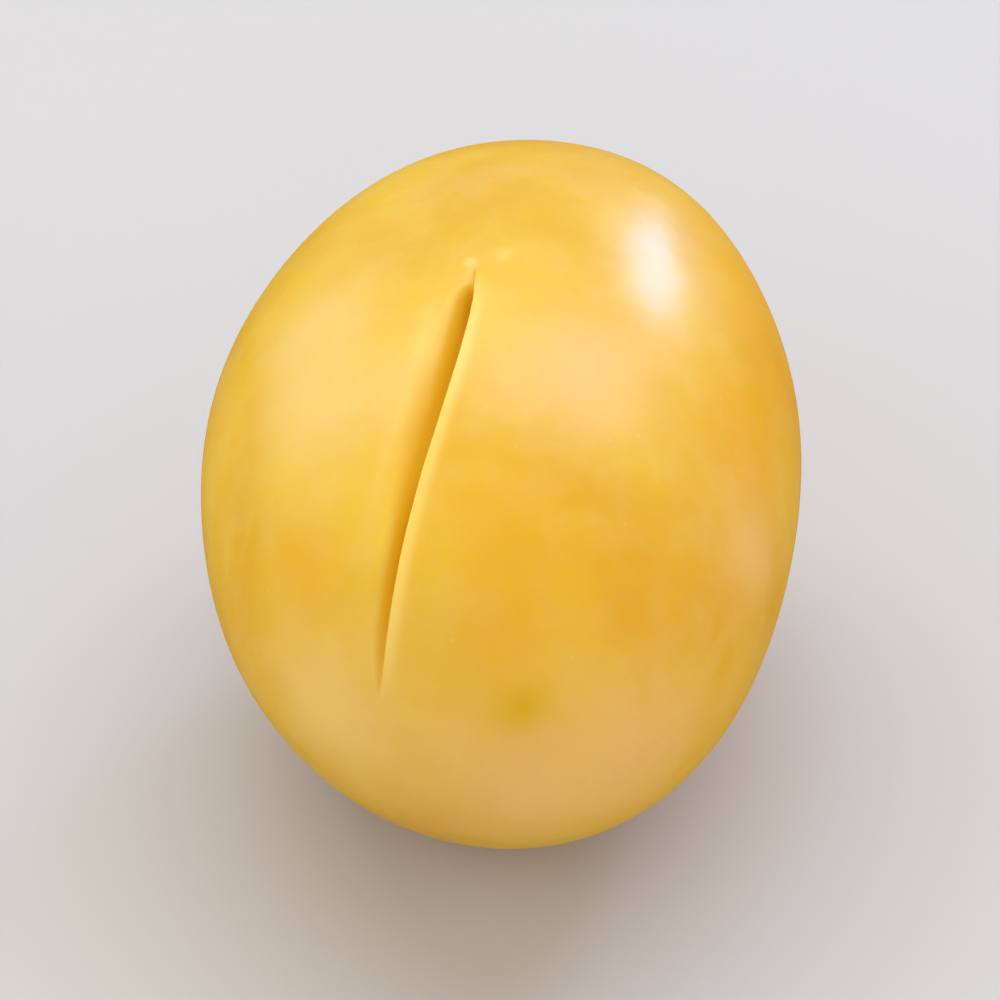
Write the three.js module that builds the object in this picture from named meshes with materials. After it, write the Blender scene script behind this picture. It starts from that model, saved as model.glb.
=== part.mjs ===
// A green table olive, cured whole, with one knife cut in its flesh.
// Millimetres, +Z up. It lies on its side: the stem end points to +Y, the tip to -Y.
// The origin is at the middle of its box, on the surface that it rests on.

import * as THREE from 'three';
import { ParametricGeometry } from 'three/addons/geometries/ParametricGeometry.js';

// Outside sizes of the finished fruit
const LENGTH = 25.0;
const WIDTH = 18.0;
const HEIGHT = 17.6;

// Body: two half superellipses turned about the long axis, blunter towards the stem
const STEM_HALF = 12.1;
const TIP_HALF = 12.9;
const GIRTH = 9.05;
const STEM_BLUNTNESS = 2.16;
const TIP_BLUNTNESS = 2.02;

// The ends bow a little, as on a fruit that grew on a drooping stalk
const BOW_UP = 0.16;
const BOW_SIDEWAYS = 0.12;

// Gentle waves of the skin: a height, and the turns per millimetre along X, Y and Z
const SKIN_WAVES = [
  { height: 0.06, along: [0.36, 0.22, -0.15], start: 0.6 },
  { height: 0.05, along: [-0.28, 0.34, 0.31], start: 2.1 },
  { height: 0.03, along: [0.62, -0.45, 0.52], start: 4.0 },
];

// Soft swellings, and places that are a little flatter: direction, reach and height
const UNEVEN_PLACES = [
  { towards: [0.42, 0.75, 0.51], reach: 4.5, height: 0.5 },
  { towards: [-0.98, 0.15, 0.13], reach: 4.5, height: 0.26 },
  { towards: [0.91, -0.32, -0.25], reach: 4.5, height: -0.11 },
  { towards: [-0.63, -0.67, -0.40], reach: 4.5, height: -0.13 },
];

// Stem hollow, at the +Y end
const HOLLOW_DEPTH = 1.8;
const HOLLOW_RADIUS = 1.5;
const HOLLOW_STEEPNESS = 3;
const RIM_RADIUS = 2.45;
const RIM_WIDTH = 0.6;
const RIM_HEIGHT = 0.14;
const PUCKERS = 6;
const PUCKER_DEPTH = 0.12;
const PUCKER_REACH = 1.0;
const SCAR_RADIUS = 0.85;
const SCAR_RING_DEPTH = 0.1;
const SCAR_RING_WIDTH = 0.28;
const SCAR_NUB_RADIUS = 0.5;
const SCAR_NUB_HEIGHT = 0.3;

// Mark of the flower at the tip: a low point with a slight dimple, a little above the middle of the end
const TIP_MARK = new THREE.Vector3(1.03, -12.3, 1.78);
const TIP_POINT_RADIUS = 1.05;
const TIP_POINT_HEIGHT = 0.16;
const TIP_DIMPLE_RADIUS = 0.3;
const TIP_DIMPLE_DEPTH = 0.06;

// Knife cut: it runs in a plane turned from the fruit's axis, from the top to near the tip
const CUT_TURN = THREE.MathUtils.degToRad(10.7);
const CUT_OFFSET = -0.71;
const CUT_START = THREE.MathUtils.degToRad(95.9);
const CUT_END = THREE.MathUtils.degToRad(172.8);
const CUT_DEPTH = 0.95;
const CUT_FADING = 0.7;
const CUT_HALF_WIDTH = 0.24;
const CUT_WIDENING = 0.03;
const CUT_NEAR_SPREAD = 4.0;
const CUT_NEAR_SPREAD_LOW = 1.5;
const CUT_LOW_FROM = -0.1;
const CUT_LOW_TO = 0.5;
const CUT_NECK_START = -0.93;
const CUT_NECK_END = -0.8;
const CUT_NECK_WIDTH = 0.65;
const CUT_NECK_DEPTH = 0.09;
const CUT_LEAN = 0.25;
const CUT_WANDER = 0.2;
const CUT_WANDER_START = 2.69;
const NEAR_LIP_SLOPE = 0.12;
const NEAR_LIP_REACH = 0.8;
const LOW_LIP_HEIGHT = 0.07;
const LOW_LIP_PLACE = 0.5;
const LOW_LIP_REACH = 0.32;
const FAR_LIP_HEIGHT = 0.13;
const FAR_LIP_REACH = 0.42;

// Flat spot under the fruit: how much is pressed flat, and how softly it starts
const FLAT_PRESS = 0.2;
const FLAT_SOFTNESS = 0.06;

// Grid of the surface: turns round the cut's plane, and rows from one side to the other
const COLUMNS = 84;
const ROWS = 62;

const SKIN_COLOUR = 0xe3b145;

const ACROSS_CUT = new THREE.Vector3(Math.cos(CUT_TURN), -Math.sin(CUT_TURN), 0);
const ALONG_CUT = new THREE.Vector3(Math.sin(CUT_TURN), Math.cos(CUT_TURN), 0);
const UP = new THREE.Vector3(0, 0, 1);
const CUT_CENTRE = ACROSS_CUT.clone().multiplyScalar(CUT_OFFSET);
const HOLLOW_ANGLE = new THREE.Vector3(0, STEM_HALF, 0).sub(CUT_CENTRE).angleTo(ACROSS_CUT);

function bell(distance, width) {
  return Math.exp(-((distance / width) ** 2));
}

// Direction of a ray from the cut's centre: its angle from the cut's normal, and its turn round it
function directionOf(angle, turn) {
  const direction = new THREE.Vector3();
  direction.addScaledVector(ACROSS_CUT, Math.cos(angle));
  direction.addScaledVector(ALONG_CUT, Math.sin(angle) * Math.cos(turn));
  return direction.addScaledVector(UP, Math.sin(angle) * Math.sin(turn));
}

// Splits a range into steps that are shorter where the density is higher
function spacedValues(start, end, count, density) {
  const samples = 1500;
  const sums = [0];
  for (let i = 0; i < samples; i += 1) {
    sums.push(sums[i] + density(start + ((end - start) * (i + 0.5)) / samples));
  }
  const values = [];
  let i = 0;
  for (let k = 0; k <= count; k += 1) {
    const wanted = (sums[samples] * k) / count;
    while (i < samples - 1 && sums[i + 1] < wanted) {
      i += 1;
    }
    const part = (wanted - sums[i]) / (sums[i + 1] - sums[i]);
    values.push(start + ((end - start) * (i + part)) / samples);
  }
  return values;
}

// How large a copy of the body passes through a point: 1 on its surface
function bodyLevel(point) {
  const half = point.y > 0 ? STEM_HALF : TIP_HALF;
  const bluntness = point.y > 0 ? STEM_BLUNTNESS : TIP_BLUNTNESS;
  const across = Math.hypot(point.x, point.z) / GIRTH;
  return (Math.abs(point.y / half) ** bluntness + across ** bluntness) ** (1 / bluntness);
}

// Point of the smooth body that lies in a direction seen from the cut's centre
function pointOfBody(direction) {
  const point = new THREE.Vector3();
  let reach = GIRTH;
  for (let step = 0; step < 30; step += 1) {
    point.copy(CUT_CENTRE).addScaledVector(direction, reach);
    reach /= bodyLevel(point);
  }
  return point;
}

function outwardNormal(point) {
  const half = point.y > 0 ? STEM_HALF : TIP_HALF;
  const bluntness = point.y > 0 ? STEM_BLUNTNESS : TIP_BLUNTNESS;
  const radius = Math.max(Math.hypot(point.x, point.z), 1e-6);
  const across = (radius / GIRTH) ** (bluntness - 1) / GIRTH;
  const along = (Math.sign(point.y) * Math.abs(point.y / half) ** (bluntness - 1)) / half;
  return new THREE.Vector3((point.x / radius) * across, along, (point.z / radius) * across).normalize();
}

function skinWaves(point) {
  let lift = 0;
  for (const wave of SKIN_WAVES) {
    const phase = wave.along[0] * point.x + wave.along[1] * point.y + wave.along[2] * point.z;
    lift += wave.height * Math.sin(phase + wave.start);
  }
  return lift;
}

function unevenPlaces(point) {
  let lift = 0;
  for (const place of UNEVEN_PLACES) {
    const centre = new THREE.Vector3(...place.towards);
    centre.divideScalar(bodyLevel(centre));
    lift += place.height * bell(point.distanceTo(centre), place.reach);
  }
  return lift;
}

function tipMark(point) {
  const distance = point.distanceTo(TIP_MARK);
  const raised = TIP_POINT_HEIGHT * bell(distance, TIP_POINT_RADIUS);
  return raised - TIP_DIMPLE_DEPTH * bell(distance, TIP_DIMPLE_RADIUS);
}

// Height added along +Y round the stem: the hollow, its rim and creases, and the scar in it
function stemHollow(point) {
  if (point.y < 0) {
    return 0;
  }
  const radius = Math.hypot(point.x, point.z);
  const angle = Math.atan2(point.z, point.x);
  const hollow = HOLLOW_DEPTH * Math.exp(-((radius / HOLLOW_RADIUS) ** HOLLOW_STEEPNESS));
  const rim = RIM_HEIGHT * bell(radius - RIM_RADIUS, RIM_WIDTH);
  const crease = (0.5 + 0.5 * Math.cos(PUCKERS * angle + 0.9 * Math.sin(2 * angle))) ** 2;
  const puckers = PUCKER_DEPTH * crease * bell(radius - RIM_RADIUS, PUCKER_REACH);
  const ring = SCAR_RING_DEPTH * bell(radius - SCAR_RADIUS, SCAR_RING_WIDTH);
  const nub = SCAR_NUB_HEIGHT * bell(radius, SCAR_NUB_RADIUS);
  return rim + nub - hollow - puckers - ring;
}

// Place along the cut for a turn round its plane: -1 at its top end, 1 at its lower end
function placeAlongCut(turn) {
  return (2 * turn - CUT_START - CUT_END) / (CUT_END - CUT_START);
}

function cutWander(along) {
  return CUT_WANDER * Math.sin(2.6 * along + CUT_WANDER_START);
}

// A share at the cut's top end that grows to 1 past its neck
function pastNeck(along, share) {
  return share + (1 - share) * THREE.MathUtils.smoothstep(along, CUT_NECK_START, CUT_NECK_END);
}

// 0 in the cut's upper part, 1 in its lower part
function lowShare(along) {
  return THREE.MathUtils.smoothstep(along, CUT_LOW_FROM, CUT_LOW_TO);
}

// Half of the cut's opening: a narrow neck at the top end, then wider, then tapering to the lower end
function cutHalfWidth(along) {
  const taper = Math.sqrt(Math.max(0, 1 - along ** 4));
  return (CUT_HALF_WIDTH + CUT_WIDENING * along) * pastNeck(along, CUT_NECK_WIDTH) * taper;
}

function cutDepth(along) {
  return CUT_DEPTH * pastNeck(along, CUT_NECK_DEPTH) * ((1 - along) / 2) ** CUT_FADING;
}

// Depth across the cut, 1 at its deepest: a long soft near side and a steep far side
function cutCore(along, across, halfWidth) {
  if (across < 0) {
    const nearWidth = halfWidth * THREE.MathUtils.lerp(CUT_NEAR_SPREAD, CUT_NEAR_SPREAD_LOW, lowShare(along));
    return Math.max(0, 1 - (-across / nearWidth) ** 1.2) ** 2.5;
  }
  return Math.max(0, 1 - (across / halfWidth) ** 1.4);
}

// Height of the cut's lips: the near one dips at first and rises lower down, the far one is raised
function lipHeight(along, across, halfWidth) {
  const low = lowShare(along);
  const dip = -NEAR_LIP_SLOPE * (1 - low) * bell(across, NEAR_LIP_REACH);
  const nearLip = dip + LOW_LIP_HEIGHT * low * bell(across + LOW_LIP_PLACE, LOW_LIP_REACH);
  const farLip = FAR_LIP_HEIGHT * bell(across - CUT_HALF_WIDTH, FAR_LIP_REACH);
  const side = THREE.MathUtils.clamp(0.5 + (0.5 * across) / halfWidth, 0, 1);
  return THREE.MathUtils.lerp(nearLip, farLip, side) * (1 - along ** 4);
}

// Moves a point of the skin into the cut, or up and down with its lips
function cutMove(point, normal) {
  const fromCentre = point.clone().sub(CUT_CENTRE);
  const along = placeAlongCut(Math.atan2(fromCentre.dot(UP), fromCentre.dot(ALONG_CUT)));
  const move = new THREE.Vector3();
  if (Math.abs(along) >= 1) {
    return move;
  }
  const across = fromCentre.dot(ACROSS_CUT) - cutWander(along);
  const halfWidth = cutHalfWidth(along);
  const depth = cutDepth(along) * cutCore(along, across, halfWidth);
  move.addScaledVector(normal, lipHeight(along, across, halfWidth) - depth);
  move.addScaledVector(ACROSS_CUT, CUT_LEAN * depth);
  return move;
}

function bow(point) {
  const share = (point.y / STEM_HALF) ** 2;
  point.x += BOW_SIDEWAYS * share;
  point.z += BOW_UP * share;
}

function pointOfOlive(direction) {
  const smooth = pointOfBody(direction);
  const normal = outwardNormal(smooth);
  const lift = skinWaves(smooth) + unevenPlaces(smooth) + tipMark(smooth);
  const point = smooth.clone().addScaledVector(normal, lift).add(cutMove(smooth, normal));
  point.y += stemHollow(smooth);
  bow(point);
  return point;
}

// Density of the grid round the cut's plane: finer at the stem hollow, the cut and the tip mark
function columnDensity(turn) {
  const fromStem = Math.min(turn, 2 * Math.PI - turn);
  const middle = (CUT_START + CUT_END) / 2;
  const half = (CUT_END - CUT_START) / 2;
  return 1 + 3.4 * bell(fromStem, 0.24) + 1.2 * bell(turn - middle, half) + 1.2 * bell(turn - CUT_END, 0.2);
}

// Density of the rows at a turn: fine in the cut and at its lips, and across the stem hollow
function rowDensity(angle, turn, reach) {
  const along = placeAlongCut(turn);
  const atCut = 1 / (1 + along ** 12);
  const shownAlong = THREE.MathUtils.clamp(along, -0.9, 0.9);
  const core = cutHalfWidth(shownAlong) / reach;
  const fromCut = angle - Math.PI / 2 + cutWander(shownAlong) / reach;
  const atHollow = bell(Math.min(turn, 2 * Math.PI - turn), 0.5);
  const cutDensity = (0.24 / core) * bell(fromCut, 1.3 * core) + 2.2 * bell(fromCut, 0.14);
  return 1 + atCut * cutDensity + 3.4 * atHollow * bell(angle - HOLLOW_ANGLE, 0.24);
}

function pressFlatSpot(positions) {
  let lowest = Infinity;
  for (let i = 0; i < positions.count; i += 1) {
    lowest = Math.min(lowest, positions.getZ(i));
  }
  const flat = lowest + FLAT_PRESS;
  for (let i = 0; i < positions.count; i += 1) {
    const above = positions.getZ(i) - flat;
    if (above < -FLAT_SOFTNESS) {
      positions.setZ(i, flat);
    } else if (above < FLAT_SOFTNESS) {
      positions.setZ(i, flat + (above + FLAT_SOFTNESS) ** 2 / (4 * FLAT_SOFTNESS));
    }
  }
}

function fitToSize(geometry) {
  geometry.computeBoundingBox();
  const { min, max } = geometry.boundingBox;
  geometry.translate(-(min.x + max.x) / 2, -(min.y + max.y) / 2, -min.z);
  geometry.scale(WIDTH / (max.x - min.x), LENGTH / (max.y - min.y), HEIGHT / (max.z - min.z));
}

function oliveGeometry() {
  const turns = spacedValues(0, 2 * Math.PI, COLUMNS, columnDensity);
  const angles = turns.map((turn) => {
    const reach = pointOfBody(directionOf(Math.PI / 2, turn)).distanceTo(CUT_CENTRE);
    return spacedValues(0, Math.PI, ROWS, (angle) => rowDensity(angle, turn, reach));
  });
  const surface = (u, v, target) => {
    const row = Math.round(u * ROWS);
    const atPole = row === 0 || row === ROWS;
    const column = atPole ? 0 : Math.round(v * COLUMNS) % COLUMNS;
    target.copy(pointOfOlive(directionOf(angles[column][row], turns[column])));
  };
  const geometry = new ParametricGeometry(surface, ROWS, COLUMNS);
  pressFlatSpot(geometry.getAttribute('position'));
  fitToSize(geometry);
  return geometry;
}

const skin = new THREE.MeshStandardMaterial({ color: SKIN_COLOUR, roughness: 0.35, metalness: 0 });

const olive = new THREE.Mesh(oliveGeometry(), skin);
olive.name = 'olive';

const part = new THREE.Group();
part.add(olive);

export default part;
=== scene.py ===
"""A green table olive with a knife cut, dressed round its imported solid."""

import math

import bpy
import numpy as np
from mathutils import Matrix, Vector


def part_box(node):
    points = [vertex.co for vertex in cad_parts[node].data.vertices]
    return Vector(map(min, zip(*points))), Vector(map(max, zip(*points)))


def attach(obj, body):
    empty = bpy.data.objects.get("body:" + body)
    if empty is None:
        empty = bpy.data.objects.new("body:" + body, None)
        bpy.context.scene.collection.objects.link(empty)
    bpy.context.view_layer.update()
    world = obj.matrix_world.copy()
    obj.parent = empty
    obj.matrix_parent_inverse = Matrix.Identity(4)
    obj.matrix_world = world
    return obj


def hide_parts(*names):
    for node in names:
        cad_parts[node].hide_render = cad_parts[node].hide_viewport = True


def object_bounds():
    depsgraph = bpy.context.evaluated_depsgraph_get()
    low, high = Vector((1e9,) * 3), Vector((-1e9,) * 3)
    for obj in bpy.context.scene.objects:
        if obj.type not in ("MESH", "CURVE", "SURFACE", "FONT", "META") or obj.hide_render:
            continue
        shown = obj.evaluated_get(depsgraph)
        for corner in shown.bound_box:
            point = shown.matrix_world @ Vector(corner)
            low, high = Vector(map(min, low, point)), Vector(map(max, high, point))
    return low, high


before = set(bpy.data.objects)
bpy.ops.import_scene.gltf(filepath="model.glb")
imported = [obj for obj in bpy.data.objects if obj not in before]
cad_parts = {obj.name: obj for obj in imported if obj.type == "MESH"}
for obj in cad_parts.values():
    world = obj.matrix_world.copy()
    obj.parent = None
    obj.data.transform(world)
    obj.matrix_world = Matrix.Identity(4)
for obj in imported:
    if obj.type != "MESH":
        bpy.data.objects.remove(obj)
cad_low, cad_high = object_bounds()

# The fruit's sizes and places are in millimetres, up to the patterns of its skin. fit_to_box gives metres.

# Body: two half superellipses turned about the long axis, blunter towards the stem
STEM_HALF = 12.1
TIP_HALF = 12.9
GIRTH = 9.05
STEM_BLUNTNESS = 2.16
TIP_BLUNTNESS = 2.02
BOW_UP = 0.16
BOW_SIDEWAYS = 0.12

# Gentle waves of the skin: height, radians per millimetre along X, Y and Z, and radians at the middle
SKIN_WAVES = (
    (0.06, (0.36, 0.22, -0.15), 0.6),
    (0.05, (-0.28, 0.34, 0.31), 2.1),
    (0.03, (0.62, -0.45, 0.52), 4.0),
)

# Soft swellings and pressed places: direction, reach and height
UNEVEN_PLACES = (
    ((0.42, 0.75, 0.51), 4.5, 0.5),
    ((-0.98, 0.15, 0.13), 4.5, 0.26),
    ((0.91, -0.32, -0.25), 4.5, -0.11),
    ((-0.63, -0.67, -0.40), 4.5, -0.13),
)

# Stem hollow, at the +Y end
HOLLOW_DEPTH = 1.8
HOLLOW_RADIUS = 1.5
HOLLOW_STEEPNESS = 3
RIM_RADIUS = 2.45
RIM_WIDTH = 0.6
RIM_HEIGHT = 0.14
PUCKERS = 6
PUCKER_DEPTH = 0.12
PUCKER_REACH = 1.0
PUCKER_UNEVENNESS = 0.9
SCAR_RADIUS = 0.85
SCAR_RING_DEPTH = 0.1
SCAR_RING_WIDTH = 0.28
SCAR_NUB_RADIUS = 0.5
SCAR_NUB_HEIGHT = 0.3

# Mark of the flower at the tip
TIP_MARK = (1.03, -12.3, 1.78)
TIP_POINT_RADIUS = 1.05
TIP_POINT_HEIGHT = 0.16
TIP_DIMPLE_RADIUS = 0.3
TIP_DIMPLE_DEPTH = 0.06

# Flat spot under the fruit
FLAT_PRESS = 0.2
FLAT_SOFTNESS = 0.06

# Knife cut, in an upright plane turned from the long axis. It runs from a turn past straight up to one near
# the tip, and a place along it counts from -1 at its top end to 1 at its lower end.
CUT_TURN = math.radians(10.7)
CUT_OFFSET = -0.71
CUT_START = math.radians(95.9)
CUT_END = math.radians(172.8)
CUT_DEPTH = 0.95
CUT_FADING = 0.7
CUT_HALF_WIDTH = 0.24
CUT_WIDENING = 0.03
CUT_NEAR_SPREAD = 4.0
CUT_NEAR_SPREAD_LOW = 1.5
CUT_LOW_FROM = -0.1
CUT_LOW_TO = 0.5
CUT_NECK_START = -0.93
CUT_NECK_END = -0.8
CUT_NECK_WIDTH = 0.65
CUT_NECK_DEPTH = 0.09
CUT_LEAN = 0.25
NEAR_SIDE_ROUNDNESS = 1.2
NEAR_SIDE_SOFTNESS = 2.5
FAR_SIDE_ROUNDNESS = 1.4
CUT_WANDER = 0.2
CUT_WANDER_START = 2.69
CUT_WANDER_PACE = 2.6
NEAR_LIP_SLOPE = 0.12
NEAR_LIP_REACH = 0.8
LOW_LIP_HEIGHT = 0.07
LOW_LIP_PLACE = 0.5
LOW_LIP_REACH = 0.32
FAR_LIP_HEIGHT = 0.13
FAR_LIP_REACH = 0.42

# Small raised ends of the torn skin at the cut's top: across the cut, beyond its end, reach and height.
# They lie within this turn of the end, in radians.
CUT_END_NUBS = ((-0.22, 0.4, 0.2, 0.11), (0.65, 0.95, 0.28, 0.08))
CUT_END_ANGLE = 0.3

# Colour in and along the cut: amber flesh, painted shade with an amber glow on the near side, and a painted
# highlight line on each lip
FLESH_EDGE = (0.03, 0.45)
FLESH_FULL_DEPTH = 0.3
NEAR_SHADE_START = 0.25
NEAR_SHADE_REACH = 1.05
NEAR_PAINT_MIDDLE = -0.25
NEAR_PAINT_FADING = 0.2
NEAR_LIP_SHINE_WIDTH = 0.22
FAR_LIP_SHINE_PLACE = 0.14
FAR_LIP_SHINE_WIDTH = 0.2
NUB_COLOUR_HEIGHT = 0.1

# Colour round the stem: painted shade in the hollow, its flecked edge and the scar
HOLLOW_SHADE_RADIUS = 1.9
HOLLOW_EDGE_RADIUS = 1.5
HOLLOW_EDGE_WIDTH = 0.55
SCAR_EDGE = (0.55, 0.95)

# Colour of the spot at the tip, and of the side away from the cut, which is more mottled
TIP_SPOT_REACH = 0.75
TO_FAR_SIDE = (0.0, 0.8, -0.6)
FAR_SIDE_REACH = 5.0

# Soft patches of colour: a place on the skin, and the reach. Gold ones are mottling at the front and painted
# shade along the right flank; cream and peach ones are painted sheen on the top and right, and painted light
# bounced onto the underside.
GOLD_MOTTLE_AND_RIGHT_SHADE_PATCHES = (
    # Gold mottling of the skin at the front
    ((-5.4, -8.8, 3.9), 1.8),
    ((0.2, -9.6, 6.1), 2.0),
    ((4.1, -9.9, 4.2), 1.7),
    ((0.5, -11.9, 3.2), 2.2),
    # Painted shade along the right flank
    ((7.2, -3.0, 5.0), 1.8),
    ((8.0, 1.2, 4.2), 2.2),
    ((7.1, 4.4, 5.0), 2.0),
)
CREAM_SHEEN_AND_BOUNCE_PATCHES = (
    # Painted sheen of the overhead light on the top
    ((-5.1, -4.7, 6.7), 2.4),
    ((-5.5, -1.5, 7.0), 2.0),
    # Painted light bounced onto the underside
    ((-4.6, -11.2, 0.2), 2.7),
)
PEACH_SHEEN_AND_BOUNCE_PATCHES = (
    # Painted sheen on the top and on the right
    ((2.6, -4.3, 8.1), 2.4),
    ((7.6, -5.8, 2.8), 1.8),
    # Painted light bounced onto the underside
    ((0.9, -12.6, -0.9), 3.2),
    ((4.5, -11.1, -0.9), 2.6),
)

# Colours, as screen values
SKIN_GOLD = (214, 163, 31)
SKIN_YELLOW = (224, 184, 46)
SKIN_CREAM = (233, 199, 124)
# Peach of the painted sheen and of the painted light bounced onto the underside
PEACH_SHEEN_AND_BOUNCE_LIGHT = (228, 183, 118)
SKIN_DEEP_GOLD = (222, 160, 6)
# Amber of the painted shade and glow on the cut's near slope
SHADE_AND_GLOW_AMBER = (229, 175, 30)
# Cream of the painted highlights on the cut's lips and torn ends
LIP_HIGHLIGHT_CREAM = (246, 210, 124)
FLESH_AMBER = (225, 174, 31)
# Ochre of the painted shade in the stem hollow
HOLLOW_SHADE_OCHRE = (206, 140, 30)
SCAR_BROWN = (122, 78, 38)
SCAR_TAN = (184, 134, 76)
SPECK_BROWN = (176, 118, 44)
TIP_YELLOW = (213, 168, 0)
FLOOR_COLOUR = (194, 191, 187)
ROOM_COLOUR = (248, 247, 244)
UNDER_ROOM_COLOUR = (216, 166, 104)

# Patterns of the skin: scale per metre, detail, roughness and distortion
CLOUDS = (130, 3.0, 0.5, 0.3)
BLOTCHES = (150, 1.0, 0.4, 0.2)
MOTTLE = (620, 3.0, 0.65, 0.0)
GRAIN = (1700, 2.0, 0.5, 0.0)

# Small round dots: cells per metre, the radius in cells, and the share of cells that hold one
PALE_DOTS = (1250, 0.11, 0.4)
BROWN_SPECKS = (260, 0.1, 0.45)

# Gloss, relief in metres, and how far light goes into the flesh
SKIN_ROUGHNESS = 0.36
SCAR_ROUGHNESS = 0.8
SKIN_IOR = 1.31
COAT_SHARE = 0.25
COAT_ROUGHNESS = 0.2
COAT_IOR = 1.36
RELIEF_HEIGHT = 0.00005
FLESH_LIGHT_SHARE = 0.5
FLESH_LIGHT_REACH = 0.0018
FLESH_LIGHT_BY_COLOUR = (1.0, 0.5, 0.12)

# Lights: direction from the fruit, distance, width and height in metres, watts and colour
OVERHEAD_LIGHT = ((0.0, 0.42, 0.89), 0.5, 0.8, 0.22, 2.0, (0.9, 0.95, 1.0))
WINDOW_LIGHT = ((0.45, 0.83, 0.34), 0.5, 0.08, 0.13, 0.8, (0.3, 0.45, 1.0))
FRONT_LIGHT = ((-0.2, -0.9, 0.45), 0.8, 1.2, 0.8, 2.9, (0.83, 0.96, 1.15))
LEFT_LIGHT = ((-0.95, -0.1, 0.2), 0.8, 0.9, 0.9, 3.1, (1.0, 0.84, 0.72))
RIGHT_LIGHT = ((0.95, -0.25, 0.15), 0.8, 0.9, 0.9, 3.9, (1.0, 0.74, 0.6))

# Room, with the height over which its lower colour turns into its upper one
ROOM_STRENGTH = 0.6
ROOM_BLEND = 0.002

# Floor, in metres
FLOOR_REACH = 3.0
FLOOR_ROUGHNESS = 0.6

# Camera: its lens in millimetres, its direction in degrees and the width that it sees in metres
CAMERA_LENS = 300.0
CAMERA_AZIMUTH = 3.0
CAMERA_ELEVATION = 37.0
VIEW_WIDTH = 0.030
OLIVE_MIDDLE = (cad_low + cad_high) / 2

# Grid of the fine skin: turns round the cut's plane, and rows from one side to the other
COLUMNS = 400
ROWS = 232
COLUMN_SAMPLES = 6000
ROW_SAMPLES = 3000
SURFACE_ROUNDS = 30

# Where the grid is closer: how much at the stem, the cut, its lips and its core, and within which angles
STEM_DENSITY = 3.4
STEM_ANGLE = 0.24
STEM_TURN = 0.5
CUT_DENSITY = 1.2
CUT_END_TURN = 0.2
CUT_ENDS_SHOWN = 0.9
LIP_DENSITY = 2.2
LIP_ANGLE = 0.14
CORE_DENSITY = 0.24
CORE_REACH = 1.3

ACROSS_CUT = np.array([math.cos(CUT_TURN), -math.sin(CUT_TURN), 0.0])
ALONG_CUT = np.array([math.sin(CUT_TURN), math.cos(CUT_TURN), 0.0])
UP = np.array([0.0, 0.0, 1.0])
CUT_CENTRE = CUT_OFFSET * ACROSS_CUT
TO_HOLLOW = np.array([0.0, STEM_HALF, 0.0]) - CUT_CENTRE
HOLLOW_ANGLE = math.acos(TO_HOLLOW @ ACROSS_CUT / np.linalg.norm(TO_HOLLOW))


def bell(distance, width):
    """1 at no distance, about a third at the width, and falling softly to 0 past it."""
    return np.exp(-((distance / width) ** 2))


def smooth_step(low, high, value):
    """0 below the low value, 1 above the high one, and a soft step between."""
    share = np.clip((value - low) / (high - low), 0.0, 1.0)
    return share * share * (3.0 - 2.0 * share)


def length_of(vectors):
    return np.sqrt((vectors**2).sum(axis=-1))


def half_and_bluntness(points):
    towards_stem = points[..., 1] > 0
    half = np.where(towards_stem, STEM_HALF, TIP_HALF)
    return half, np.where(towards_stem, STEM_BLUNTNESS, TIP_BLUNTNESS)


def body_level(points):
    """How large a copy of the body passes through each point: 1 on its surface."""
    half, bluntness = half_and_bluntness(points)
    across = np.hypot(points[..., 0], points[..., 2]) / GIRTH
    return (np.abs(points[..., 1] / half) ** bluntness + across**bluntness) ** (1 / bluntness)


def points_of_body(directions):
    """Points of the smooth body, in directions seen from the cut's centre."""
    reach = np.full(directions.shape[:-1], GIRTH)
    for _ in range(SURFACE_ROUNDS):
        points = CUT_CENTRE + directions * reach[..., None]
        reach = reach / body_level(points)
    return CUT_CENTRE + directions * reach[..., None]


def outward_normals(points):
    """Directions straight out of the smooth body."""
    half, bluntness = half_and_bluntness(points)
    radius = np.maximum(np.hypot(points[..., 0], points[..., 2]), 1e-6)
    across = (radius / GIRTH) ** (bluntness - 1) / GIRTH
    along = np.sign(points[..., 1]) * np.abs(points[..., 1] / half) ** (bluntness - 1) / half
    normals = np.stack([points[..., 0] / radius * across, along, points[..., 2] / radius * across], axis=-1)
    return normals / length_of(normals)[..., None]


def skin_waves(points):
    """Height of the skin's gentle waves."""
    lift = 0.0
    for height, along, start in SKIN_WAVES:
        lift = lift + height * np.sin(points @ np.array(along) + start)
    return lift


def uneven_places(points):
    """Height of the soft swellings, less the depth of the pressed places."""
    lift = 0.0
    for towards, reach, height in UNEVEN_PLACES:
        centre = np.array(towards)
        centre = centre / body_level(centre)
        lift = lift + height * bell(length_of(points - centre), reach)
    return lift


def tip_mark(points):
    """Height of the small point at the tip, with its dimple."""
    distance = length_of(points - np.array(TIP_MARK))
    raised = TIP_POINT_HEIGHT * bell(distance, TIP_POINT_RADIUS)
    return raised - TIP_DIMPLE_DEPTH * bell(distance, TIP_DIMPLE_RADIUS)


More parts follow.
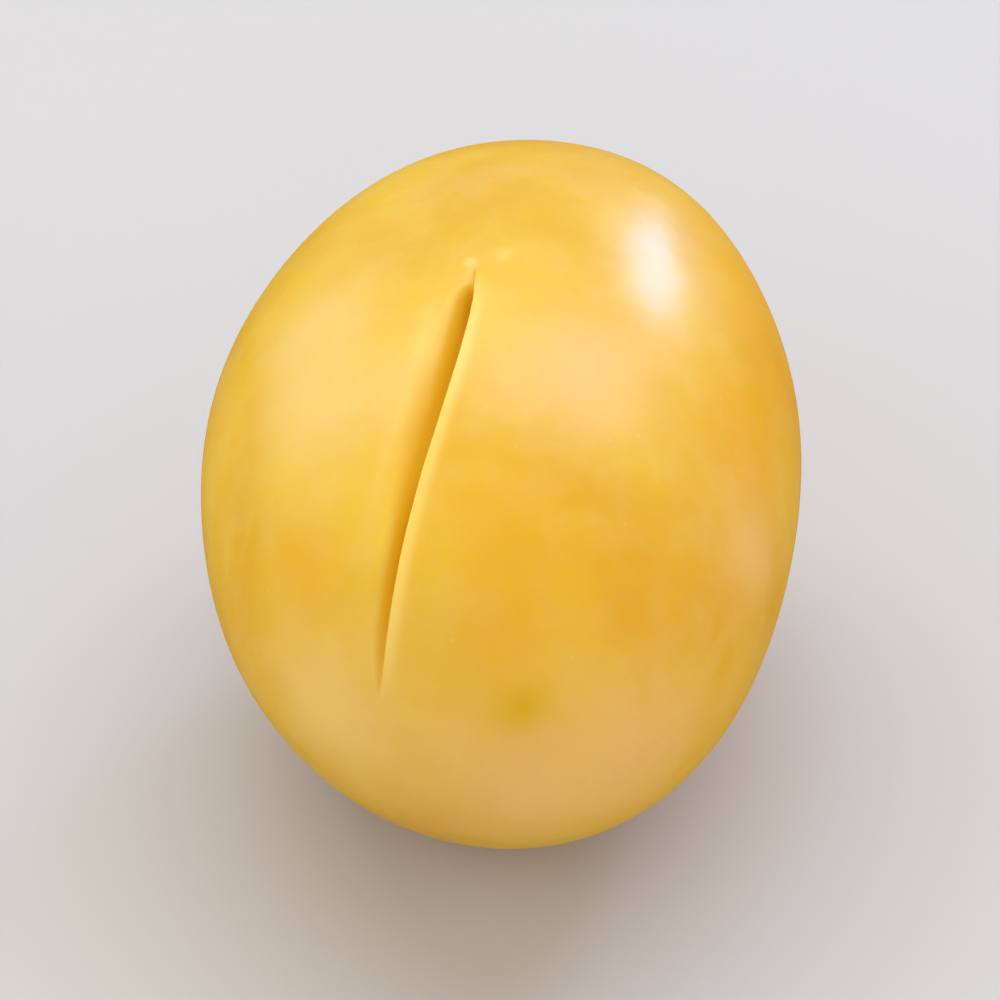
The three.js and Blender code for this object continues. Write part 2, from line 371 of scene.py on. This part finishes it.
def stem_hollow(points):
    """Height added along +Y round the stem: the hollow, its rim and creases, and the scar in it."""
    radius = np.hypot(points[..., 0], points[..., 2])
    angle = np.arctan2(points[..., 2], points[..., 0])
    hollow = HOLLOW_DEPTH * np.exp(-((radius / HOLLOW_RADIUS) ** HOLLOW_STEEPNESS))
    rim = RIM_HEIGHT * bell(radius - RIM_RADIUS, RIM_WIDTH)
    crease = (0.5 + 0.5 * np.cos(PUCKERS * angle + PUCKER_UNEVENNESS * np.sin(2 * angle))) ** 2
    puckers = PUCKER_DEPTH * crease * bell(radius - RIM_RADIUS, PUCKER_REACH)
    ring = SCAR_RING_DEPTH * bell(radius - SCAR_RADIUS, SCAR_RING_WIDTH)
    nub = SCAR_NUB_HEIGHT * bell(radius, SCAR_NUB_RADIUS)
    return np.where(points[..., 1] > 0, rim + nub - hollow - puckers - ring, 0.0)


def place_along_cut(turn):
    """-1 at the cut's top end, 1 at its lower end."""
    return (2 * turn - CUT_START - CUT_END) / (CUT_END - CUT_START)


def cut_wander(along):
    """How far the cut's line is from its plane."""
    return CUT_WANDER * np.sin(CUT_WANDER_PACE * along + CUT_WANDER_START)


def past_neck(along, share):
    """A share at the cut's top end that grows to 1 past its neck."""
    return share + (1 - share) * smooth_step(CUT_NECK_START, CUT_NECK_END, along)


def low_share(along):
    """0 in the cut's upper part, 1 in its lower part."""
    return smooth_step(CUT_LOW_FROM, CUT_LOW_TO, along)


def cut_half_width(along):
    """Half of the cut's opening: a narrow neck at the top end, then wider, then tapering to the lower end."""
    taper = np.sqrt(np.maximum(0.0, 1 - along**4))
    return (CUT_HALF_WIDTH + CUT_WIDENING * along) * past_neck(along, CUT_NECK_WIDTH) * taper


def cut_depth(along):
    """Deepest just past the neck, fading out towards the lower end."""
    return CUT_DEPTH * past_neck(along, CUT_NECK_DEPTH) * ((1 - along) / 2) ** CUT_FADING


def cut_core(along, across, half_width):
    """Depth across the cut, 1 at its deepest: a long soft near side and a steep far side."""
    near_width = half_width * (CUT_NEAR_SPREAD + (CUT_NEAR_SPREAD_LOW - CUT_NEAR_SPREAD) * low_share(along))
    near = np.clip(-across / near_width, 0.0, 1.0)
    far = np.clip(across / half_width, 0.0, 1.0)
    near_core = (1 - near**NEAR_SIDE_ROUNDNESS) ** NEAR_SIDE_SOFTNESS
    return np.where(across < 0, near_core, 1 - far**FAR_SIDE_ROUNDNESS)


def lip_height(along, across, half_width):
    """Height of the cut's lips: the near one dips at first and rises lower down, the far one is raised."""
    low = low_share(along)
    dip = -NEAR_LIP_SLOPE * (1 - low) * bell(across, NEAR_LIP_REACH)
    near_lip = dip + LOW_LIP_HEIGHT * low * bell(across + LOW_LIP_PLACE, LOW_LIP_REACH)
    far_lip = FAR_LIP_HEIGHT * bell(across - CUT_HALF_WIDTH, FAR_LIP_REACH)
    side = np.clip(0.5 + 0.5 * across / half_width, 0.0, 1.0)
    return (near_lip + (far_lip - near_lip) * side) * (1 - along**4)


def place_at_cut(points):
    """Places along and across the cut, and half of its width there."""
    from_centre = points - CUT_CENTRE
    along = place_along_cut(np.arctan2(from_centre @ UP, from_centre @ ALONG_CUT))
    along = np.clip(along, -1.0, 1.0)
    across = from_centre @ ACROSS_CUT - cut_wander(along)
    half_width = np.maximum(cut_half_width(along), 1e-6)
    return along, across, half_width


def cut_move(points, normals):
    """Moves points of the skin into the cut, or up and down with its lips."""
    along, across, half_width = place_at_cut(points)
    depth = cut_depth(along) * cut_core(along, across, half_width)
    lift = lip_height(along, across, half_width) - depth
    return normals * lift[..., None] + ACROSS_CUT * (CUT_LEAN * depth)[..., None]


def cut_end_nubs(points):
    """Height of the small raised ends of torn skin past the cut's top."""
    from_centre = points - CUT_CENTRE
    turn = np.arctan2(from_centre @ UP, from_centre @ ALONG_CUT)
    beyond = (CUT_START - turn) * length_of(from_centre)
    across = from_centre @ ACROSS_CUT - cut_wander(-1.0)
    at_end = np.abs(turn - CUT_START) < CUT_END_ANGLE
    lift = 0.0
    for nub_across, nub_beyond, reach, height in CUT_END_NUBS:
        lift = lift + height * bell(np.hypot(across - nub_across, beyond - nub_beyond), reach)
    return np.where(at_end, lift, 0.0)


def bow(points):
    """Bends both ends of the fruit slightly up and to one side."""
    share = (points[..., 1] / STEM_HALF) ** 2
    points[..., 0] += BOW_SIDEWAYS * share
    points[..., 2] += BOW_UP * share


def press_flat_spot(points):
    """Flattens the underside where it rests, with a soft edge."""
    flat = points[..., 2].min() + FLAT_PRESS
    above = points[..., 2] - flat
    eased = flat + (above + FLAT_SOFTNESS) ** 2 / (4 * FLAT_SOFTNESS)
    lifted = np.where(above < FLAT_SOFTNESS, eased, points[..., 2])
    points[..., 2] = np.where(above < -FLAT_SOFTNESS, flat, lifted)


def fit_to_box(points, low, high):
    """Scales and moves the fine surface to the box of the solid that it stands for, in metres."""
    own_low = points.reshape(-1, 3).min(axis=0)
    own_high = points.reshape(-1, 3).max(axis=0)
    return np.array(low) + (points - own_low) * (np.array(high - low) / (own_high - own_low))


def spaced_values(start, end, count, densities):
    """Splits a range into steps that are shorter where the densities are higher."""
    sums = np.concatenate([[0.0], np.cumsum(densities)])
    wanted = np.linspace(0.0, sums[-1], count + 1)
    return np.interp(wanted, sums, np.linspace(start, end, len(sums)))


def middles(start, end, count):
    """Middles of equal steps across a range."""
    return start + (end - start) * (np.arange(count) + 0.5) / count


def column_turns():
    """Turns of the columns: dense at the stem hollow, along the cut and at its lower end."""
    turn = middles(0.0, 2 * math.pi, COLUMN_SAMPLES)
    from_stem = np.minimum(turn, 2 * math.pi - turn)
    middle = (CUT_START + CUT_END) / 2
    half = (CUT_END - CUT_START) / 2
    at_stem = STEM_DENSITY * bell(from_stem, STEM_ANGLE)
    at_cut = CUT_DENSITY * (bell(turn - middle, half) + bell(turn - CUT_END, CUT_END_TURN))
    return spaced_values(0.0, 2 * math.pi, COLUMNS, 1 + at_stem + at_cut)


def directions_of(angle, turn):
    """Directions of rays from the cut's centre: an angle from the cut's normal, and a turn round it."""
    level = np.sin(angle)[..., None] * np.cos(turn)[..., None] * ALONG_CUT
    upright = np.sin(angle)[..., None] * np.sin(turn)[..., None] * UP
    return np.cos(angle)[..., None] * ACROSS_CUT + level + upright


def row_angles(turn):
    """Angles of the rows at one turn: dense in the cut and at its lips, and across the stem hollow."""
    reach = length_of(points_of_body(directions_of(np.array(math.pi / 2), np.array(turn))) - CUT_CENTRE)
    along = place_along_cut(turn)
    shown_along = min(max(along, -CUT_ENDS_SHOWN), CUT_ENDS_SHOWN)
    core = cut_half_width(shown_along) / reach
    angle = middles(0.0, math.pi, ROW_SAMPLES)
    from_cut = angle - math.pi / 2 + cut_wander(shown_along) / reach
    in_cut = CORE_DENSITY / core * bell(from_cut, CORE_REACH * core)
    at_lips = LIP_DENSITY * bell(from_cut, LIP_ANGLE)
    from_stem = min(turn, 2 * math.pi - turn)
    at_stem = STEM_DENSITY * bell(from_stem, STEM_TURN) * bell(angle - HOLLOW_ANGLE, STEM_ANGLE)
    return spaced_values(0.0, math.pi, ROWS, 1 + (in_cut + at_lips) / (1 + along**12) + at_stem)


def olive_surface():
    """The surface as columns and rows of points in metres, and their places on the plain body."""
    turns = column_turns()[:-1]
    angles = np.array([row_angles(turn) for turn in turns])
    plain = points_of_body(directions_of(angles, np.repeat(turns[:, None], ROWS + 1, axis=1)))
    normals = outward_normals(plain)
    lift = skin_waves(plain) + uneven_places(plain) + tip_mark(plain) + cut_end_nubs(plain)
    points = plain + normals * lift[..., None] + cut_move(plain, normals)
    points[..., 1] += stem_hollow(plain)
    bow(points)
    press_flat_spot(points)
    low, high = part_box("olive")
    return fit_to_box(points, low, high), plain


def closed_grid(grid):
    """Grid values as one flat list: the first pole, the rows between the poles, the last pole."""
    between = np.swapaxes(grid[:, 1:-1], 0, 1)
    return np.concatenate([grid[:1, 0], between.reshape(-1, *grid.shape[2:]), grid[:1, -1]])


def closed_faces(columns, rows):
    """Quads between the poles and a fan of triangles at each pole, all facing outwards."""
    last = 1 + (rows - 1) * columns

    def index(row, column):
        return 1 + (row - 1) * columns + column % columns

    faces = []
    for column in range(columns):
        faces.append((0, index(1, column + 1), index(1, column)))
        faces.append((last, index(rows - 1, column), index(rows - 1, column + 1)))
        for row in range(1, rows - 1):
            near = index(row, column), index(row, column + 1)
            faces.append((*near, index(row + 1, column + 1), index(row + 1, column)))
    return faces


def add_mask(mesh, name, values):
    mask = mesh.attributes.new(name, "FLOAT", "POINT")
    mask.data.foreach_set("value", np.clip(values, 0.0, 1.0).astype(np.float32))


def soft_patches(plain, patches):
    """Share of one colour from all of its soft patches."""
    return sum(bell(length_of(plain - np.array(place)), reach) for place, reach in patches)


def cut_masks(plain):
    """Where the skin's colour changes along the cut: the flesh, painted shade and glow on the near slope, and
    painted highlights on the lips and torn ends.
    """
    along, across, half_width = place_at_cut(plain)
    fading = np.clip(1 - along**6, 0.0, 1.0)
    near_paint_fading = np.clip(1 - (along - NEAR_PAINT_MIDDLE) ** 4 / NEAR_PAINT_FADING, 0.0, 1.0)
    in_cut = smooth_step(*FLESH_EDGE, cut_core(along, across, half_width))
    # Painted shade and amber glow on the near slope into the cut
    near_shade_and_glow = (1 - smooth_step(NEAR_SHADE_START, NEAR_SHADE_REACH, -across)) * (across < half_width)
    # Painted highlight lines along the near and far lips
    near_lip = bell(across + NEAR_SHADE_REACH, NEAR_LIP_SHINE_WIDTH)
    far_lip = bell(across - half_width - FAR_LIP_SHINE_PLACE, FAR_LIP_SHINE_WIDTH)
    return {
        "cut_flesh": in_cut * smooth_step(0.0, FLESH_FULL_DEPTH, cut_depth(along)),
        "near_shade_and_glow": near_shade_and_glow * near_paint_fading,
        "near_lip": near_lip * near_paint_fading,
        "far_lip": far_lip * fading,
        # Painted highlight on the raised torn ends
        "nubs": cut_end_nubs(plain) / NUB_COLOUR_HEIGHT,
    }


def stem_masks(plain):
    """Where the skin's colour changes round the stem's scar."""
    radius = np.where(plain[..., 1] > 0, np.hypot(plain[..., 0], plain[..., 2]), math.inf)
    return {
        # Painted shade in the stem hollow
        "hollow": np.exp(-((radius / HOLLOW_SHADE_RADIUS) ** 4)),
        "hollow_edge": bell(radius - HOLLOW_EDGE_RADIUS, HOLLOW_EDGE_WIDTH),
        "scar": 1 - smooth_step(*SCAR_EDGE, radius),
    }


def place_masks(plain):
    """Where the skin's colour changes at the tip, on the far side and in the soft patches: gold mottling,
    painted shade on the right flank, painted sheen on the top and painted light bounced onto the underside.
    """
    return {
        "tip_spot": bell(length_of(plain - np.array(TIP_MARK)), TIP_SPOT_REACH),
        "far_side": smooth_step(0.0, FAR_SIDE_REACH, plain @ np.array(TO_FAR_SIDE)),
        "gold_mottle_and_right_shade": soft_patches(plain, GOLD_MOTTLE_AND_RIGHT_SHADE_PATCHES),
        "cream_sheen_and_bounce": soft_patches(plain, CREAM_SHEEN_AND_BOUNCE_PATCHES),
        "peach_sheen_and_bounce": soft_patches(plain, PEACH_SHEEN_AND_BOUNCE_PATCHES),
    }


def make_olive_skin():
    points, plain = olive_surface()
    mesh = bpy.data.meshes.new("olive_skin")
    mesh.from_pydata(closed_grid(points).tolist(), [], closed_faces(COLUMNS, ROWS))
    masks = cut_masks(plain) | stem_masks(plain) | place_masks(plain)
    for name, values in masks.items():
        add_mask(mesh, name, closed_grid(values))
    mesh.shade_smooth()
    piece = bpy.data.objects.new("olive_skin", mesh)
    bpy.context.scene.collection.objects.link(piece)
    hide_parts("olive")
    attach(piece, "root")
    return piece


def linear(colour):
    """A colour given as screen values from 0 to 255, as the shader's values from 0 to 1."""
    shares = np.array(colour) / 255
    values = np.where(shares > 0.04, ((shares + 0.055) / 1.055) ** 2.4, shares / 12.92)
    return (*values.tolist(), 1.0)


class Shader:
    """Short ways to add nodes to one material."""

    def __init__(self, name):
        self.material = bpy.data.materials.new(name)
        self.material.use_nodes = True
        self.tree = self.material.node_tree
        self.surface = self.tree.nodes["Principled BSDF"]

    def link(self, source, target):
        self.tree.links.new(source, target)

    def node(self, kind, **settings):
        made = self.tree.nodes.new(kind)
        for key, value in settings.items():
            setattr(made, key, value)
        return made

    def place(self):
        return self.node("ShaderNodeTexCoord").outputs["Object"]

    def mask(self, name):
        return self.node("ShaderNodeAttribute", attribute_name=name).outputs["Fac"]

    def part_of_mask(self, name, share):
        return self.times(self.mask(name), share)

    def noise(self, place, per_metre, detail, roughness, distortion):
        made = self.node("ShaderNodeTexNoise")
        made.inputs["Scale"].default_value = per_metre
        made.inputs["Detail"].default_value = detail
        made.inputs["Roughness"].default_value = roughness
        made.inputs["Distortion"].default_value = distortion
        self.link(place, made.inputs["Vector"])
        return made.outputs["Fac"]

    def dots(self, place, per_metre, radius, share):
        """Round dots of one size in a share of the cells of a random grid; the radius is in cells."""
        cells = self.node("ShaderNodeTexVoronoi")
        cells.inputs["Scale"].default_value = per_metre
        self.link(place, cells.inputs["Vector"])
        chance = self.node("ShaderNodeSeparateColor")
        self.link(cells.outputs["Color"], chance.inputs["Color"])
        chosen = self.math("LESS_THAN", chance.outputs["Red"], share)
        round_dot = self.spread(cells.outputs["Distance"], 0.4 * radius, radius, 1.0, 0.0)
        return self.times(round_dot, chosen)

    def spread(self, value, low, high, to_low=0.0, to_high=1.0):
        made = self.node("ShaderNodeMapRange", interpolation_type="SMOOTHSTEP")
        for name, number in zip(("From Min", "From Max", "To Min", "To Max"), (low, high, to_low, to_high)):
            made.inputs[name].default_value = number
        self.link(value, made.inputs["Value"])
        return made.outputs["Result"]

    def math(self, operation, first, second):
        made = self.node("ShaderNodeMath", operation=operation)
        for socket, value in zip(made.inputs, (first, second)):
            if isinstance(value, (int, float)):
                socket.default_value = value
            else:
                self.link(value, socket)
        return made.outputs["Value"]

    def times(self, first, second):
        return self.math("MULTIPLY", first, second)

    def sum(self, first, second):
        return self.math("ADD", first, second)

    def blend(self, share, first, second):
        """Second colour over first, by a share."""
        made = self.node("ShaderNodeMix", data_type="RGBA")
        for name, value in (("Factor", share), ("A", first), ("B", second)):
            socket = next(s for s in made.inputs if s.name == name and s.enabled)
            if isinstance(value, (int, float, tuple)):
                socket.default_value = value
            else:
                self.link(value, socket)
        return next(s for s in made.outputs if s.enabled)

    def bump(self, height, distance):
        made = self.node("ShaderNodeBump")
        made.inputs["Distance"].default_value = distance
        self.link(height, made.inputs["Height"])
        return made.outputs["Normal"]


def skin_patterns(shader):
    """The noises and dots that the skin's colour and relief are made of."""
    place = shader.place()
    return {
        "clouds": shader.noise(place, *CLOUDS),
        "blotches": shader.noise(place, *BLOTCHES),
        "mottle": shader.noise(place, *MOTTLE),
        "grain": shader.noise(place, *GRAIN),
        "dots": shader.dots(place, *PALE_DOTS),
        "specks": shader.dots(place, *BROWN_SPECKS),
    }


def plain_skin_layers(shader, patterns):
    """Shares and colours laid over the skin's ground, from the lowest up."""
    far_side = shader.mask("far_side")
    deep_blotches = shader.times(shader.spread(patterns["blotches"], 0.35, 0.65, 0.15, 0.65), far_side)
    pale_blotches = shader.times(shader.spread(patterns["blotches"], 0.3, 0.5, 0.35, 0.0), far_side)
    return (
        (shader.spread(patterns["mottle"], 0.35, 0.68, 0.0, 0.2), SKIN_CREAM),
        (deep_blotches, SKIN_DEEP_GOLD),
        (pale_blotches, SKIN_CREAM),
        # Painted sheen on the top and right, and painted light bounced onto the underside
        (shader.part_of_mask("cream_sheen_and_bounce", 0.6), SKIN_CREAM),
        (shader.part_of_mask("peach_sheen_and_bounce", 0.6), PEACH_SHEEN_AND_BOUNCE_LIGHT),
        # Gold mottling at the front, and painted shade along the right flank
        (shader.part_of_mask("gold_mottle_and_right_shade", 0.5), SKIN_DEEP_GOLD),
        (shader.times(patterns["dots"], 0.3), SKIN_CREAM),
    )


def cut_layers(shader):
    """The painted shade and amber glow beside the cut, painted highlights on its lips and torn ends, and the
    flesh in it.
    """
    return (
        (shader.part_of_mask("near_shade_and_glow", 0.7), SHADE_AND_GLOW_AMBER),
        # Painted highlights on the lips and the torn ends
        (shader.part_of_mask("near_lip", 0.15), LIP_HIGHLIGHT_CREAM),
        (shader.part_of_mask("far_lip", 0.5), LIP_HIGHLIGHT_CREAM),
        (shader.part_of_mask("nubs", 0.35), LIP_HIGHLIGHT_CREAM),
        (shader.mask("cut_flesh"), FLESH_AMBER),
    )


def mark_layers(shader, patterns):
    """Painted shade in the stem's hollow, its scar, the specks of the far side and the spot at the tip."""
    edge_flecks = shader.spread(patterns["mottle"], 0.42, 0.6, 0.0, 0.5)
    scar_flecks = shader.spread(patterns["grain"], 0.45, 0.65)
    far_specks = shader.times(patterns["specks"], shader.part_of_mask("far_side", 0.6))
    return (
        # Painted shade in the stem hollow
        (shader.part_of_mask("hollow", 0.5), HOLLOW_SHADE_OCHRE),
        (shader.times(edge_flecks, shader.mask("hollow_edge")), SCAR_TAN),
        (shader.mask("scar"), SCAR_BROWN),
        (shader.times(scar_flecks, shader.mask("scar")), SCAR_TAN),
        (far_specks, SPECK_BROWN),
        (shader.mask("tip_spot"), TIP_YELLOW),
    )


def skin_colour(shader, patterns):
    """Gold and yellow clouds as the ground, with all the layers over it."""
    cloud_share = shader.spread(patterns["clouds"], 0.3, 0.7)
    colour = shader.blend(cloud_share, linear(SKIN_GOLD), linear(SKIN_YELLOW))
    layers = plain_skin_layers(shader, patterns) + cut_layers(shader) + mark_layers(shader, patterns)
    for share, upper in layers:
        colour = shader.blend(share, colour, linear(upper))
    return colour


def skin_relief(shader, patterns):
    """A faint mottled relief, and a rough one in the scar."""
    relief = shader.sum(shader.times(patterns["mottle"], 0.5), shader.times(patterns["grain"], 0.12))
    relief = shader.sum(relief, shader.times(patterns["grain"], shader.mask("scar")))
    return shader.bump(relief, RELIEF_HEIGHT)


def skin_material():
    """The moist skin of a cured olive, dull and rough only at the scar."""
    shader = Shader("cured_olive_skin")
    surface = shader.surface.inputs
    patterns = skin_patterns(shader)
    scar = shader.mask("scar")
    shader.link(skin_colour(shader, patterns), surface["Base Color"])
    shader.link(skin_relief(shader, patterns), surface["Normal"])
    shader.link(shader.spread(scar, 0.0, 1.0, SKIN_ROUGHNESS, SCAR_ROUGHNESS), surface["Roughness"])
    shader.link(shader.spread(scar, 0.0, 0.6, COAT_SHARE, 0.0), surface["Coat Weight"])
    surface["IOR"].default_value = SKIN_IOR
    surface["Coat Roughness"].default_value = COAT_ROUGHNESS
    surface["Coat IOR"].default_value = COAT_IOR
    surface["Subsurface Weight"].default_value = FLESH_LIGHT_SHARE
    surface["Subsurface Radius"].default_value = FLESH_LIGHT_BY_COLOUR
    surface["Subsurface Scale"].default_value = FLESH_LIGHT_REACH
    return shader.material


def floor_material():
    shader = Shader("pale_floor")
    shader.surface.inputs["Base Color"].default_value = linear(FLOOR_COLOUR)
    shader.surface.inputs["Roughness"].default_value = FLOOR_ROUGHNESS
    return shader.material


def make_floor():
    mesh = bpy.data.meshes.new("floor")
    corners = [(FLOOR_REACH * x, FLOOR_REACH * y, 0) for x, y in ((-1, -1), (1, -1), (1, 1), (-1, 1))]
    mesh.from_pydata(corners, [], [(0, 1, 2, 3)])
    mesh.materials.append(floor_material())
    floor = bpy.data.objects.new("floor", mesh)
    floor.visible_glossy = False
    bpy.context.scene.collection.objects.link(floor)


def aim(thing, towards):
    """Turns a lamp or camera to look at a place."""
    thing.rotation_mode = "QUATERNION"
    thing.rotation_quaternion = (Vector(towards) - thing.location).to_track_quat("-Z", "Y")


def make_softbox(name, shine, direction, distance, width, height, watts, colour):
    """One area lamp; one with no shine lights the skin but isn't seen in its gloss."""
    light = bpy.data.lights.new(name, "AREA")
    light.shape = "RECTANGLE"
    light.size = width
    light.size_y = height
    light.energy = watts
    light.color = colour
    lamp = bpy.data.objects.new(name, light)
    lamp.location = Vector(direction).normalized() * distance + OLIVE_MIDDLE
    aim(lamp, OLIVE_MIDDLE)
    lamp.visible_camera = False
    lamp.visible_glossy = shine
    bpy.context.scene.collection.objects.link(lamp)


def make_world():
    """A pale room, whose warm lower half shows only in the gloss of the underside."""
    world = bpy.data.worlds.new("pale_room")
    world.use_nodes = True
    nodes = world.node_tree.nodes
    links = world.node_tree.links
    direction = nodes.new("ShaderNodeSeparateXYZ")
    links.new(nodes.new("ShaderNodeTexCoord").outputs["Generated"], direction.inputs["Vector"])
    upper_half = nodes.new("ShaderNodeMath")
    upper_half.operation = "MAXIMUM"
    links.new(direction.outputs["Z"], upper_half.inputs[0])
    links.new(nodes.new("ShaderNodeLightPath").outputs["Is Camera Ray"], upper_half.inputs[1])
    height = nodes.new("ShaderNodeValToRGB")
    height.color_ramp.elements[0].color = linear(UNDER_ROOM_COLOUR)
    height.color_ramp.elements[1].color = linear(ROOM_COLOUR)
    height.color_ramp.elements[1].position = ROOM_BLEND
    links.new(upper_half.outputs["Value"], height.inputs["Fac"])
    links.new(height.outputs["Color"], nodes["Background"].inputs["Color"])
    nodes["Background"].inputs["Strength"].default_value = ROOM_STRENGTH
    bpy.context.scene.world = world


def make_camera():
    camera = bpy.data.objects.new("camera", bpy.data.cameras.new("camera"))
    camera.data.lens = CAMERA_LENS
    azimuth = math.radians(CAMERA_AZIMUTH)
    elevation = math.radians(CAMERA_ELEVATION)
    level = math.cos(elevation)
    back = Vector((math.sin(azimuth) * level, -math.cos(azimuth) * level, math.sin(elevation)))
    distance = VIEW_WIDTH * CAMERA_LENS / camera.data.sensor_width
    camera.location = OLIVE_MIDDLE + back * distance
    aim(camera, OLIVE_MIDDLE)
    bpy.context.scene.collection.objects.link(camera)
    bpy.context.scene.camera = camera


olive_skin = make_olive_skin()
olive_skin.data.materials.append(skin_material())
make_floor()
make_world()
make_softbox("overhead", True, *OVERHEAD_LIGHT)
make_softbox("window", True, *WINDOW_LIGHT)
make_softbox("front", False, *FRONT_LIGHT)
make_softbox("left", False, *LEFT_LIGHT)
make_softbox("right", False, *RIGHT_LIGHT)
make_camera()
bpy.context.scene.view_settings.view_transform = "Standard"
